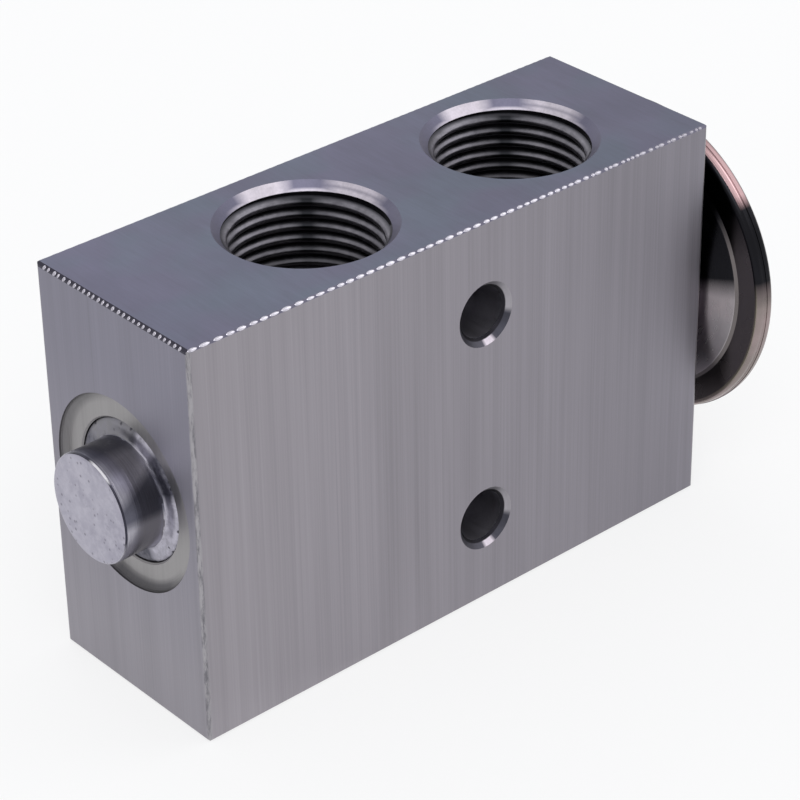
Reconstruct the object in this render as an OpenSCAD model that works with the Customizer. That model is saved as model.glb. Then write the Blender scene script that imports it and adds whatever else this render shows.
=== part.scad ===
// Block expansion valve for a refrigerant circuit, with a threaded port on
// each corner of the two long edges, an end plug and a diaphragm power head.
// The block stands on its lower port face. X runs along the valve axis from
// the plug to the power head, Y from front to back, Z up.

/* [Block] */
// Length of the block, from the plug end to the head end
block_l = 90; // [89:0.5:110]
// Thickness of the block, front to back
block_w = 31; // [29.5:0.5:45]
// Height of the block, between the two port faces
block_h = 58.7; // [56:0.1:70]
// Rounding of the four upright edges
corner_r = 0.6; // [0.4:0.1:1.6]
// Edge break round the two port faces
edge_break = 0.35; // [0.1:0.05:0.6]
// Height of the valve axis above the lower port face
axis_h = 31.1; // [29:0.1:32]

/* [Ports] */
// Distance of the first pair of ports from the plug end
port_inset = 31.5; // [31:0.5:33]
// Distance between the two pairs of ports
port_spacing = 36; // [35:0.5:37]
// Thread diameter of each port
port_d = 22.2; // [20:0.1:22.6]
// Outer diameter of the sealing chamfer at each port's mouth
port_mouth_d = 24.6; // [23.5:0.1:26]
// Length of the threaded wall, from the port face
port_thread_l = 13.5; // [11:0.5:14]
// Depth of each port, to the floor that the tapping drill leaves
port_depth = 15.5; // [14.5:0.5:16.5]
// Diameter of the tapping drill
port_drill_d = 20.4; // [19.5:0.1:20.6]

/* [Passages] */
// Diameter of the two liquid passages
passage_d = 7.5; // [6:0.1:7.5]
// Distance of each liquid passage from the port axis
passage_offset = 5.9; // [5.8:0.1:6.2]
// Diameter of the vapour bore that joins the second pair of ports
vapour_d = 19; // [16:0.5:20]

/* [Mounting holes] */
// Distance of the mounting holes from the plug end
bolt_inset = 48.7; // [48:0.1:49.5]
// Height of the lower mounting hole
bolt_h = 13; // [11:0.1:15]
// Distance between the two mounting holes
bolt_spacing = 31.9; // [29:0.1:34]
// Diameter of each mounting hole
bolt_d = 7.4; // [5:0.1:7.8]
// Outer diameter of the chamfer on each mounting hole
bolt_mouth_d = 9.4; // [8.2:0.1:11]

/* [End plug] */
// Outer diameter of the dished recess round the plug
recess_d = 27.5; // [26:0.1:27.8]
// Depth of the recess
recess_depth = 1; // [0.6:0.1:1.4]
// Width of the rounded lip at the rim of the recess
recess_lip = 1.2; // [0.8:0.1:1.8]
// Diameter of the bore that takes the plug
plug_bore_d = 20.1; // [18:0.1:21]
// Depth of the plug's seat below the plug end
plug_seat = 10; // [9:0.1:10.6]
// Diameter of the plug's nose
nose_d = 15.3; // [11:0.1:16]
// How far the nose stands out of the block
nose_l = 5.4; // [3:0.1:9]
// Edge chamfer of the nose
nose_chamfer = 0.45; // [0.2:0.05:0.9]
// Width of the bevel round the plug's shoulder
shoulder_bevel = 0.5; // [0.2:0.05:0.6]
// Depth of the hollow inside the plug
plug_hollow_l = 5; // [3:0.5:7]
// Diameter of the hollow inside the plug
plug_hollow_d = 10; // [8:0.5:13]
// Distance of the plug's ring groove from the plug's seat
plug_ring_inset = 4.4; // [3.2:0.1:5]
// Section diameter of the plug's sealing ring
plug_ring_d = 1.9; // [1.5:0.1:2]

/* [Spring and ball] */
// Diameter of the spring chamber
chamber_d = 16.4; // [16:0.1:17]
// Distance of the valve seat from the plug end
seat_x = 30.5; // [30.3:0.1:30.8]
// Diameter of the metering orifice
orifice_d = 4; // [3:0.1:4.4]
// Width of the bevel that the ball closes on
seat_bevel = 0.5; // [0.3:0.05:0.6]
// Thickness of the land between the chamber and the outlet
seat_land = 2; // [1.6:0.1:2.4]
// Diameter of the valve ball
ball_d = 6; // [5.6:0.1:6.4]
// Distance of the adjusting nut from the plug's seat
nut_inset = 0.6; // [0.2:0.1:1]
// Thickness of the adjusting nut
nut_l = 4.4; // [3.6:0.1:5]
// Width across the flats of the nut's hexagon socket
nut_socket = 8; // [5:0.5:9]
// Depth of the nut's hexagon socket
nut_socket_l = 2.2; // [1.5:0.1:2.4]
// Depth of the pocket that holds the spring in the nut
nut_pocket_l = 1; // [0.5:0.1:1.2]
// Wire diameter of the superheat spring
wire_d = 1.3; // [1:0.1:1.4]
// Mean diameter of the superheat spring
coil_d = 9.8; // [9.4:0.1:10.2]
// Number of turns of the superheat spring
coil_turns = 5; // [4:0.5:6]
// Diameter of the ball carrier's flange
carrier_d = 12; // [11.6:0.1:12.8]
// Thickness of the ball carrier's flange
carrier_t = 1.4; // [1:0.1:1.6]
// Wall of the ball carrier's cup at its rim
cup_wall = 1.4; // [1:0.1:1.6]
// Length of the pilot that centres the spring on the carrier
pilot_l = 2.6; // [1.5:0.1:3]
// Radial play of the spring on its pilot
pilot_play = 0.5; // [0.3:0.1:0.7]
// Length of the damping ring's fingers
finger_l = 3.2; // [2:0.1:4]
// Radial play of the fingers in the chamber
finger_play = 0.08; // [0.05:0.01:0.1]
// Sheet thickness of the damping ring
damper_t = 0.35; // [0.25:0.05:0.45]

/* [Rod and seal] */
// Diameter of the push rod
rod_d = 3; // [2:0.1:3.4]
// Diameter of the outlet bore behind the orifice
outlet_d = 8; // [6:0.1:9]
// Diameter of the pocket for the rod's seal
seal_pocket_d = 8; // [7:0.1:9]
// Depth of the seal pocket, from the vapour bore
seal_pocket_l = 5; // [4.4:0.1:6]
// Thickness of the seal retainer
retainer_t = 1; // [0.6:0.1:1.4]
// Distance of the sensing shaft from the vapour bore's wall
shaft_inset = 1.5; // [1.2:0.1:2.5]
// Depth of the socket in the shaft that takes the rod
socket_l = 4; // [2:0.1:6]
// Distance of the sleeve from the shaft's end
sleeve_inset = 1; // [0.5:0.1:1.5]
// Diameter of the sensing shaft
shaft_d = 7; // [5.6:0.1:7.4]
// Wall of the sleeve round the sensing shaft
sleeve_wall = 1.15; // [0.8:0.05:1.4]
// Length of the sleeve
sleeve_l = 16; // [8:0.5:17]

/* [Power head] */
// Distance of the lower housing's floor from the block
head_gap = 1; // [0.8:0.05:1.4]
// Sheet thickness of both housings
sheet_t = 1.3; // [0.8:0.05:1.4]
// Diameter of the lower housing's flat floor
floor_d = 28.5; // [26:0.5:35]
// Diameter at which the lower housing's wall meets its flange
cup_d = 38.8; // [37.5:0.1:41]
// Depth of the lower housing, from its floor to its flange
cup_depth = 2.3; // [1.8:0.1:3]
// Outer diameter of the lower flange
rim_d = 47.2; // [45:0.1:52]
// How far the upper flange stands out past the lower one
rim_step = 0.2; // [0.05:0.05:0.4]
// Rounding of the lower flange's edge
rim_round = 0.8; // [0.3:0.05:0.8]
// Width of the weld round the diaphragm's edge
weld_w = 0.6; // [0.3:0.1:1]
// Distance of the dome's wall inside the lower housing's wall
dome_inset = 0.3; // [0.1:0.1:1]
// Rise of the upper housing's dome above its flange
dome_rise = 3.6; // [1.5:0.1:6]
// Diameter of the flat top of the dome
dome_flat_d = 18; // [12:0.5:26]
// Thickness of the diaphragm
diaphragm_t = 0.2; // [0.1:0.05:0.3]
// Number of waves in the diaphragm
wave_count = 2; // [1:1:3]
// Distance of the waves from the pad
wave_inset = 0.8; // [0.3:0.1:1.2]
// Height of the diaphragm's waves
wave_h = 0.35; // [0.1:0.05:0.45]
// Diameter of the pad under the diaphragm
pad_d = 17.2; // [12:0.1:24]
// Opening stroke of the valve
stroke = 0.8; // [0.3:0.05:0.9]
// Diameter of the neck that screws into the block
neck_d = 20.1; // [18:0.1:21]
// Length of the neck inside the block
neck_l = 9.6; // [8:0.1:9.8]
// Bore of the neck
neck_bore_d = 10.4; // [9:0.1:11.4]
// Diameter of the neck's spigot in the lower housing
spigot_d = 16; // [13.5:0.1:17.5]
// Section diameter of the ring between the block and the head
head_ring_d = 2; // [1.6:0.1:2.2]
// Diameter of the charging plug on the dome
charge_d = 4; // [3:0.1:6]
// How far the charging plug stands out of the dome
charge_l = 1.6; // [1:0.1:3]

/* [Hidden] */
$fn = 96;
over = 1;                // how far a cutter runs past the face that it opens
fit_gap = 0.05;          // radial clearance of a turned piece in its bore
touch_gap = 0.02;        // space left where two moving pieces meet
seat_gap = 0.03;         // space between the closed ball and its seat
ring_play = 0.25;        // space beside a sealing ring in its groove
port_x = [port_inset, port_inset + port_spacing];
vapour_x = port_inset + port_spacing;

// valve train, as distances from the plug end
chamber_r = chamber_d / 2;
ball_r = ball_d / 2;
ball_x = seat_x + seat_bevel + orifice_d / 2 - sqrt(2) * (ball_r + seat_gap);
socket_apex = ball_x - sqrt(2) * (ball_r + touch_gap);
cup_top = ball_x - ball_r / 2;
flange_top = socket_apex;
flange_under = flange_top - carrier_t;
cup_wall_r = cup_top - socket_apex + cup_wall;
pilot_r = coil_d / 2 - wire_d / 2 - pilot_play;
nut_x = plug_seat + nut_inset;
spring_from = nut_x + nut_l - nut_pocket_l;
spring_to = flange_under;
damper_r = chamber_r - finger_play;

// rod, shaft and sleeve
guide_d = rod_d + 2 * fit_gap;
outlet_end = port_inset + passage_offset + passage_d / 2;
vapour_wall = vapour_x - vapour_d / 2;
seal_floor = vapour_wall - seal_pocket_l;
rod_ring_d = (seal_pocket_d - rod_d) / 2 - 3 * touch_gap;
retainer_x = seal_floor + rod_ring_d + ring_play;
rod_from = ball_x + ball_r + touch_gap;
shaft_from = vapour_wall + shaft_inset;
rod_to = shaft_from + socket_l - touch_gap;
sleeve_from = shaft_from + sleeve_inset;

// power head, as distances from the block's head end
floor_top = head_gap + sheet_t;
flange_at = head_gap + cup_depth;
joint_at = flange_at + sheet_t;
cover_at = joint_at + diaphragm_t;
pad_under = floor_top + stroke + fit_gap;
pad_top = joint_at - touch_gap;
wave_from = pad_d / 2 + wave_inset;
wave_to = cup_d / 2 - 2 * wave_inset;
groove_depth = head_ring_d - head_gap + 0.1;
groove_r = neck_d / 2 + head_ring_d + ring_play;

// local Z runs along the valve axis, from the plug end
module on_axis(at = 0) {
    translate([at - block_l / 2, 0, axis_h]) rotate([0, 90, 0]) children();
}

// points of a quarter round from angle a0 to a1, about [r, z]
function arc(r, z, rad, a0, a1, steps = 6) =
    [for (i = [0:steps]) let (a = a0 + (a1 - a0) * i / steps) [r + rad * cos(a), z + rad * sin(a)]];

// rectangle with rounded corners, made of true circles
module rounded_rect(l, w, r) {
    square([l - 2 * r, w], center = true);
    square([l, w - 2 * r], center = true);
    for (sx = [-1, 1], sy = [-1, 1])
        translate([sx * (l / 2 - r), sy * (w / 2 - r)]) circle(r);
}

// upright profile w wide whose upper and lower corners are cut back by c
module broken_profile(w, c) {
    a = w / 2 + over;
    b = c + over;
    polygon([
        [-a, b], [-a + b, 0], [a - b, 0], [a, b],
        [a, block_h - b], [a - b, block_h], [-a + b, block_h], [-a, block_h - b]
    ]);
}

// hole from one port face, with its sealing chamfer and thread wall
module port_cut() {
    mouth = (port_mouth_d - port_d) / 2;
    rotate_extrude() polygon([
        [0, -over], [port_mouth_d / 2 + over, -over], [port_d / 2, mouth], [port_d / 2, port_thread_l],
        [port_drill_d / 2, port_thread_l + (port_d - port_drill_d) / 2], [port_drill_d / 2, port_depth],
        [0, port_depth]
    ]);
}

// straight hole through the block's thickness, chamfered at both ends
module bolt_cut() {
    half = block_w / 2;
    mouth = (bolt_mouth_d - bolt_d) / 2;
    rotate([90, 0, 0]) rotate_extrude() polygon([
        [0, -half - over], [bolt_mouth_d / 2 + over, -half - over], [bolt_d / 2, mouth - half],
        [bolt_d / 2, half - mouth], [bolt_mouth_d / 2 + over, half + over], [0, half + over]
    ]);
}

// everything bored from the plug end: recess, plug bore, chamber, seat, outlet
module plug_end_cut() {
    lip_r = recess_d / 2;
    rotate_extrude() polygon(concat(
        [[0, -over], [lip_r, -over]],
        [for (i = [0:6]) let (a = 15 * i) [lip_r - recess_lip * (1 - cos(a)), recess_depth * sin(a)]],
        [
            [plug_bore_d / 2 + 0.2, recess_depth], [plug_bore_d / 2, recess_depth + 0.2],
            [plug_bore_d / 2, plug_seat], [chamber_r, plug_seat], [chamber_r, seat_x],
            [orifice_d / 2 + seat_bevel, seat_x], [orifice_d / 2, seat_x + seat_bevel],
            [orifice_d / 2, seat_x + seat_land], [outlet_d / 2, seat_x + seat_land],
            [outlet_d / 2, outlet_end], [guide_d / 2, outlet_end + (outlet_d - guide_d) / 4],
            [guide_d / 2, seal_floor], [seal_pocket_d / 2, seal_floor], [seal_pocket_d / 2, vapour_x],
            [0, vapour_x]
        ]
    ));
}

// everything bored from the head end: ring groove, neck bore, vapour opening
module head_end_cut() {
    neck_r = neck_d / 2 + fit_gap;
    neck_play = 0.2;
    opening_r = neck_bore_d / 2 + 0.6;
    rotate_extrude() polygon([
        [0, over], [groove_r, over], [groove_r, -groove_depth], [neck_r, -groove_depth],
        [neck_r, -neck_l - neck_play], [opening_r, -neck_l - neck_play],
        [opening_r, vapour_x - block_l], [0, vapour_x - block_l]
    ]);
}

module valve_body() {
    color([0.62, 0.62, 0.65]) difference() {
        intersection() {
            linear_extrude(block_h) rounded_rect(block_l, block_w, corner_r);
            translate([0, block_w / 2 + over, 0]) rotate([90, 0, 0])
                linear_extrude(block_w + 2 * over) broken_profile(block_l, edge_break);
            translate([-block_l / 2 - over, 0, 0]) rotate([90, 0, 90])
                linear_extrude(block_l + 2 * over) broken_profile(block_w, edge_break);
        }
        for (x = port_x) translate([x - block_l / 2, 0, 0]) {
            port_cut();
            translate([0, 0, block_h]) mirror([0, 0, 1]) port_cut();
        }
        translate([port_inset - passage_offset - block_l / 2, 0, port_depth - over])
            cylinder(d = passage_d, h = axis_h - port_depth + over);
        translate([port_inset + passage_offset - block_l / 2, 0, axis_h])
            cylinder(d = passage_d, h = block_h - port_depth - axis_h + over);
        translate([vapour_x - block_l / 2, 0, port_depth - over])
            cylinder(d = vapour_d, h = block_h - 2 * port_depth + 2 * over);
        for (z = [bolt_h, bolt_h + bolt_spacing]) translate([bolt_inset - block_l / 2, 0, z]) bolt_cut();
        on_axis() plug_end_cut();
        on_axis(block_l) head_end_cut();
    }
}

module end_plug() {
    nose_r = nose_d / 2;
    barrel_r = plug_bore_d / 2 - fit_gap;
    ring_from = plug_seat - plug_ring_inset;
    ring_to = ring_from + plug_ring_d + 2 * ring_play;
    groove_floor = barrel_r - plug_ring_d + touch_gap;
    color([0.68, 0.67, 0.7]) on_axis() rotate_extrude() polygon([
        [0, -nose_l], [nose_r - nose_chamfer, -nose_l], [nose_r, nose_chamfer - nose_l],
        [nose_r, recess_depth], [barrel_r - shoulder_bevel, recess_depth + 0.1],
        [barrel_r, recess_depth + 0.1 + shoulder_bevel],
        [barrel_r, ring_from], [groove_floor, ring_from], [groove_floor, ring_to], [barrel_r, ring_to],
        [barrel_r, plug_seat], [plug_hollow_d / 2, plug_seat],
        [plug_hollow_d / 2, plug_seat - plug_hollow_l + 1], [0, plug_seat - plug_hollow_l]
    ]);
}

module plug_o_ring() {
    ring_r = plug_ring_d / 2 - touch_gap;
    color([0.1, 0.1, 0.11]) on_axis(plug_seat - plug_ring_inset + plug_ring_d / 2 + ring_play)
        rotate_extrude() translate([plug_bore_d / 2 - touch_gap - ring_r, 0]) circle(ring_r, $fn = 32);
}

module adjusting_nut() {
    nut_r = chamber_r - fit_gap;
    pocket_r = coil_d / 2 + wire_d / 2 + 0.3;
    bevel = 0.4;
    color([0.76, 0.62, 0.34]) on_axis(nut_x) difference() {
        rotate_extrude() polygon([
            [0, 0], [nut_r - bevel, 0], [nut_r, bevel], [nut_r, nut_l - bevel], [nut_r - bevel, nut_l],
            [pocket_r + 0.2, nut_l], [pocket_r, nut_l - nut_pocket_l],
            [0, nut_l - nut_pocket_l]
        ]);
        translate([0, 0, -over])
            cylinder(d = nut_socket / cos(30), h = nut_socket_l + over, $fn = 6);
    }
}

// wire of the spring: the end turns lie closed, the others share the rest
module superheat_spring() {
    sides = 8;
    steps = 24;
    turn = 360;
    last = coil_turns * steps;
    free = spring_to - spring_from - wire_d;
    lay = wire_d + 0.02;
    function rise(a) =
        a < turn ? lay * a / turn :
        a > coil_turns * turn - turn ? free - lay * (coil_turns * turn - a) / turn :
        lay + (free - 2 * lay) * (a - turn) / ((coil_turns - 2) * turn);
    points = [
        for (i = [0:last]) let (a = i * turn / steps)
            for (k = [0:sides - 1]) let (b = k * turn / sides, r = coil_d / 2 + wire_d / 2 * cos(b))
                [r * cos(a), r * sin(a), wire_d / 2 + rise(a) + wire_d / 2 * sin(b)]
    ];
    walls = [
        for (i = [0:last - 1], k = [0:sides - 1]) let (n = (k + 1) % sides)
            [i * sides + k, (i + 1) * sides + k, (i + 1) * sides + n, i * sides + n]
    ];
    ends = [[for (k = [0:sides - 1]) k], [for (k = [0:sides - 1]) (last + 1) * sides - 1 - k]];
    color([0.6, 0.6, 0.62]) on_axis(spring_from) polyhedron(points, concat(walls, ends), convexity = 6);
}

module ball_carrier() {
    color([0.72, 0.71, 0.7]) on_axis() rotate_extrude() polygon([
        [0, flange_under - pilot_l], [pilot_r - 0.3, flange_under - pilot_l],
        [pilot_r, flange_under - pilot_l + 0.3], [pilot_r, flange_under], [carrier_d / 2, flange_under],
        [carrier_d / 2, flange_top], [cup_wall_r + 0.3, flange_top], [cup_wall_r, cup_top],
        [cup_top - socket_apex, cup_top], [0, socket_apex]
    ]);
}

// sheet ring on the carrier, with three fingers that bear on the chamber wall
module damping_ring() {
    fingers = 3;
    sweep = 46;
    ring_r = cup_wall_r + 0.4;
    step_r = carrier_d / 2 + 0.6;
    color([0.7, 0.7, 0.72]) on_axis(flange_top + touch_gap) {
        rotate_extrude() polygon([[ring_r, 0], [step_r, 0], [step_r, damper_t], [ring_r, damper_t]]);
        for (i = [0:fingers - 1]) rotate([0, 0, i * 360 / fingers + 20]) rotate_extrude(angle = sweep)
            polygon([
                [step_r - 0.2, 0], [damper_r - damper_t, 0], [damper_r - damper_t, -finger_l],
                [damper_r, -finger_l], [damper_r, damper_t], [step_r - 0.2, damper_t]
            ]);
    }
}

module valve_ball() {
    color([0.8, 0.8, 0.82]) on_axis(ball_x) sphere(d = ball_d);
}

module push_rod() {
    color([0.75, 0.75, 0.77]) on_axis(rod_from) cylinder(d = rod_d, h = rod_to - rod_from);
}

module rod_o_ring() {
    mid_r = rod_d / 2 + touch_gap + rod_ring_d / 2;
    color([0.1, 0.1, 0.11]) on_axis(seal_floor + touch_gap + rod_ring_d / 2)
        rotate_extrude() translate([mid_r, 0]) circle(d = rod_ring_d, $fn = 32);
}

module seal_retainer() {
    color([0.7, 0.7, 0.72]) on_axis(retainer_x) difference() {
        cylinder(d = seal_pocket_d - touch_gap, h = retainer_t);
        translate([0, 0, -over]) cylinder(d = rod_d + 4 * fit_gap, h = retainer_t + 2 * over);
    }
}

module sensing_shaft() {
    bevel = 0.5;
    shaft_l = block_l + pad_under - shaft_from;
    color([0.7, 0.7, 0.73]) on_axis(shaft_from) rotate_extrude() polygon([
        [rod_d / 2 + touch_gap, 0], [shaft_d / 2 - bevel, 0], [shaft_d / 2, bevel], [shaft_d / 2, shaft_l],
        [0, shaft_l], [0, socket_l], [rod_d / 2 + touch_gap, socket_l]
    ]);
}

module sensing_sleeve() {
    bore_r = shaft_d / 2 + fit_gap;
    color([0.12, 0.12, 0.13]) on_axis(sleeve_from) difference() {
        cylinder(r = bore_r + sleeve_wall, h = sleeve_l);
        translate([0, 0, -over]) cylinder(r = bore_r, h = sleeve_l + 2 * over);
    }
}

module head_neck() {
    neck_r = neck_d / 2;
    bevel = 0.6;
    color([0.72, 0.71, 0.7]) on_axis(block_l) rotate_extrude() polygon([
        [neck_bore_d / 2, -neck_l], [neck_r - bevel, -neck_l], [neck_r, bevel - neck_l],
        [neck_r, head_gap], [spigot_d / 2, head_gap], [spigot_d / 2, floor_top],
        [neck_bore_d / 2, floor_top]
    ]);
}

module head_o_ring() {
    ring_r = head_ring_d / 2;
    color([0.1, 0.1, 0.11]) on_axis(block_l + head_gap - touch_gap - ring_r)
        rotate_extrude() translate([neck_d / 2 + touch_gap + ring_r, 0]) circle(ring_r, $fn = 32);
}

// stamped cup: floor round the neck, sloping wall, flange with a rounded edge
module lower_housing() {
    hole_r = spigot_d / 2 + touch_gap;
    rim_r = rim_d / 2;
    slope = cup_d / 2 - floor_d / 2;
    ease = 0.3;
    color([0.68, 0.64, 0.62]) on_axis(block_l) rotate_extrude() polygon(concat(
        [[hole_r, head_gap], [floor_d / 2 - ease, head_gap], [floor_d / 2 + ease, head_gap + ease]],
        [[cup_d / 2 - ease, flange_at - ease], [cup_d / 2 + ease, flange_at]],
        arc(rim_r - rim_round, flange_at + rim_round, rim_round, -90, 0),
        [[rim_r, joint_at], [cup_d / 2 - ease, joint_at]],
        [[cup_d / 2 - slope - ease, floor_top], [hole_r, floor_top]]
    ));
}

module diaphragm_pad() {
    bevel = 0.3;
    color([0.7, 0.7, 0.73]) on_axis(block_l) rotate_extrude() polygon([
        [0, pad_under], [pad_d / 2 - bevel, pad_under], [pad_d / 2, pad_under + bevel],
        [pad_d / 2, pad_top - bevel], [pad_d / 2 - bevel, pad_top], [0, pad_top]
    ]);
}

// thin disc, flat over the pad and at the rim, with round waves between
module diaphragm() {
    steps = 24;
    rim_r = rim_d / 2 - weld_w;
    wave = [
        for (i = [0:steps]) let (s = i / steps)
            [wave_from + (wave_to - wave_from) * s, wave_h * (1 - cos(360 * wave_count * s)) / 2]
    ];
    color([0.74, 0.74, 0.76]) on_axis(block_l + joint_at) rotate_extrude() polygon(concat(
        [[0, 0]], wave, [[rim_r, 0], [rim_r, diaphragm_t]],
        [for (i = [steps:-1:0]) wave[i] + [0, diaphragm_t]], [[0, diaphragm_t]]
    ));
}

// stamped cover: flange, S-shaped wall and flat top with the charging hole
module upper_housing() {
    steps = 12;
    rim_r = rim_d / 2 + rim_step;
    edge_r = cup_d / 2 - dome_inset;
    flat_r = dome_flat_d / 2;
    hole_r = charge_d / 2 + touch_gap;
    wall = [
        for (i = [0:steps]) let (s = i / steps)
            [edge_r + (flat_r - edge_r) * s, dome_rise * (1 - cos(180 * s)) / 2]
    ];
    color([0.7, 0.67, 0.65]) on_axis(block_l + cover_at) rotate_extrude() polygon(concat(
        [[hole_r, dome_rise]],
        [for (i = [steps:-1:0]) wall[i] - [sheet_t / 2, 0]],
        [[rim_r, 0]],
        arc(rim_r - rim_round, sheet_t - rim_round, rim_round, 0, 90),
        [for (i = [0:steps]) wall[i] + [sheet_t / 2, sheet_t]],
        [[hole_r, dome_rise + sheet_t]]
    ));
}

module charge_plug() {
    charge_r = charge_d / 2;
    stem_l = sheet_t + charge_l;
    color([0.72, 0.7, 0.66]) on_axis(block_l + cover_at + dome_rise) rotate_extrude() polygon(concat(
        [[0, 0], [charge_r, 0]],
        arc(charge_r - 0.6, stem_l - 0.6, 0.6, 0, 90),
        [[0, stem_l]]
    ));
}

valve_body();
end_plug();
plug_o_ring();
adjusting_nut();
superheat_spring();
ball_carrier();
damping_ring();
valve_ball();
push_rod();
rod_o_ring();
seal_retainer();
sensing_shaft();
sensing_sleeve();
head_neck();
head_o_ring();
lower_housing();
diaphragm_pad();
diaphragm();
upper_housing();
charge_plug();
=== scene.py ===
import bpy
import bmesh
import math
import random
from mathutils import Matrix, Vector, noise


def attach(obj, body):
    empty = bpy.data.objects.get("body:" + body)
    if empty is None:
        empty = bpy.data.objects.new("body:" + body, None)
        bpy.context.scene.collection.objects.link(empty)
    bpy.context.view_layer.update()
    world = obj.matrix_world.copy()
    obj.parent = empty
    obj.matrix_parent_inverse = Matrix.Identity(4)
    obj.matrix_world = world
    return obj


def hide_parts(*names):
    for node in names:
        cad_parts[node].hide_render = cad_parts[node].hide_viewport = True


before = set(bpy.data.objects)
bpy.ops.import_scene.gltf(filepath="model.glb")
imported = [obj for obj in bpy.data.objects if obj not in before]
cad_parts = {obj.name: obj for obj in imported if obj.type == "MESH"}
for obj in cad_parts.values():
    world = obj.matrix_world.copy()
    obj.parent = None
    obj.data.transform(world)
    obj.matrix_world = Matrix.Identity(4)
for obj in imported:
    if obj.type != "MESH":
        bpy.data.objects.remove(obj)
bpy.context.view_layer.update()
scene = bpy.context.scene
mm = 0.001

# sizes of the block that the added pieces and finishes line up with, in mm
block = {
    "length": 90.0, "width": 31.0, "height": 58.7, "axisHeight": 31.1,
    "portMiddle": 4.5,       # half way between the two ports, along X
    "portHalf": 18.0,        # each port's distance from there
    "portRadius": 11.1, "mouthRadius": 12.3,
    "boltX": 3.7, "boltLow": 13.0, "boltHigh": 44.9, "boltMouth": 4.7,
    "recessRadius": 13.75,
}


# shader helpers

def newFinish(name, colour, roughness, metallic=1.0):
    finish = bpy.data.materials.new(name)
    finish.use_nodes = True
    tree = finish.node_tree
    shader = tree.nodes["Principled BSDF"]
    shader.inputs["Base Color"].default_value = (*colour, 1)
    shader.inputs["Roughness"].default_value = roughness
    shader.inputs["Metallic"].default_value = metallic
    place = tree.nodes.new("ShaderNodeTexCoord")
    return finish, tree, shader, place


def put(tree, socket, value):  # a link where value is a socket, else a number or a colour of three numbers
    if isinstance(value, bpy.types.NodeSocket):
        tree.links.new(value, socket)
    else:
        socket.default_value = (*value, 1) if isinstance(value, tuple) else value


def calc(tree, operation, a, b=0.0, clamp=False):
    node = tree.nodes.new("ShaderNodeMath")
    node.operation = operation
    node.use_clamp = clamp
    put(tree, node.inputs[0], a)
    put(tree, node.inputs[1], b)
    return node.outputs[0]


def remap(tree, value, low, high, toLow=0.0, toHigh=1.0):
    node = tree.nodes.new("ShaderNodeMapRange")
    put(tree, node.inputs["Value"], value)
    for key, number in (("From Min", low), ("From Max", high), ("To Min", toLow), ("To Max", toHigh)):
        node.inputs[key].default_value = number
    return node.outputs["Result"]


def mixColour(tree, share, a, b, mode="MIX"):
    node = tree.nodes.new("ShaderNodeMix")
    node.data_type = "RGBA"
    node.blend_type = mode
    put(tree, node.inputs[0], share)
    put(tree, node.inputs[6], a)
    put(tree, node.inputs[7], b)
    return node.outputs[2]


def mixNumber(tree, share, a, b):
    node = tree.nodes.new("ShaderNodeMix")
    put(tree, node.inputs[0], share)
    put(tree, node.inputs[2], a)
    put(tree, node.inputs[3], b)
    return node.outputs[0]


def grain(tree, place, scale, detail=3.0, shift=(0, 0, 0), roughness=0.55):
    mapping = tree.nodes.new("ShaderNodeMapping")
    mapping.inputs["Scale"].default_value = scale
    mapping.inputs["Location"].default_value = shift
    tree.links.new(place.outputs["Object"], mapping.inputs["Vector"])
    node = tree.nodes.new("ShaderNodeTexNoise")
    node.inputs["Scale"].default_value = 1.0
    node.inputs["Detail"].default_value = detail
    node.inputs["Roughness"].default_value = roughness
    tree.links.new(mapping.outputs["Vector"], node.inputs["Vector"])
    return node.outputs["Fac"]


def specks(tree, place, scale, size, kept, shift=(0, 0, 0)):
    mapping = tree.nodes.new("ShaderNodeMapping")
    mapping.inputs["Scale"].default_value = scale
    mapping.inputs["Location"].default_value = shift
    tree.links.new(place.outputs["Object"], mapping.inputs["Vector"])
    cells = tree.nodes.new("ShaderNodeTexVoronoi")
    cells.inputs["Scale"].default_value = 1.0
    tree.links.new(mapping.outputs["Vector"], cells.inputs["Vector"])
    spot = remap(tree, cells.outputs["Distance"], size, size * 0.5)
    pick = tree.nodes.new("ShaderNodeSeparateColor")
    tree.links.new(cells.outputs["Color"], pick.inputs["Color"])
    return calc(tree, "MULTIPLY", spot, calc(tree, "LESS_THAN", pick.outputs[0], kept))


def bump(tree, shader, height, distance, strength=1.0):
    node = tree.nodes.new("ShaderNodeBump")
    node.inputs["Strength"].default_value = strength
    node.inputs["Distance"].default_value = distance
    tree.links.new(height, node.inputs["Height"])
    tree.links.new(node.outputs["Normal"], shader.inputs["Normal"])


def split(tree, socket):
    node = tree.nodes.new("ShaderNodeSeparateXYZ")
    tree.links.new(socket, node.inputs[0])
    return node.outputs


def radiusFrom(tree, a, aMiddle, b, bMiddle):  # distance from an axis, in metres
    da = calc(tree, "SUBTRACT", a, aMiddle)
    db = calc(tree, "SUBTRACT", b, bMiddle)
    return calc(tree, "SQRT", calc(tree, "ADD", calc(tree, "MULTIPLY", da, da), calc(tree, "MULTIPLY", db, db)))


def angleAbout(tree, a, b):  # degrees from the first direction towards the second
    return calc(tree, "MULTIPLY", calc(tree, "ARCTAN2", b, a), 180 / math.pi)


def arcMask(tree, angle, middle, half, soft):  # 1 within half of the middle, fading out over soft
    turned = calc(tree, "SUBTRACT", angle, middle)
    wrapped = tree.nodes.new("ShaderNodeMath")
    wrapped.operation = "WRAP"
    put(tree, wrapped.inputs[0], turned)
    wrapped.inputs[1].default_value = 180
    wrapped.inputs[2].default_value = -180
    return remap(tree, calc(tree, "ABSOLUTE", wrapped.outputs[0]), half + soft, half)


def paint(tree, colour, mask, over):  # lay one colour over another where the mask says
    return mixColour(tree, mask, colour, over)


def above(tree, value, level):
    return calc(tree, "GREATER_THAN", value, level)


def below(tree, value, level):
    return calc(tree, "LESS_THAN", value, level)


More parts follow.
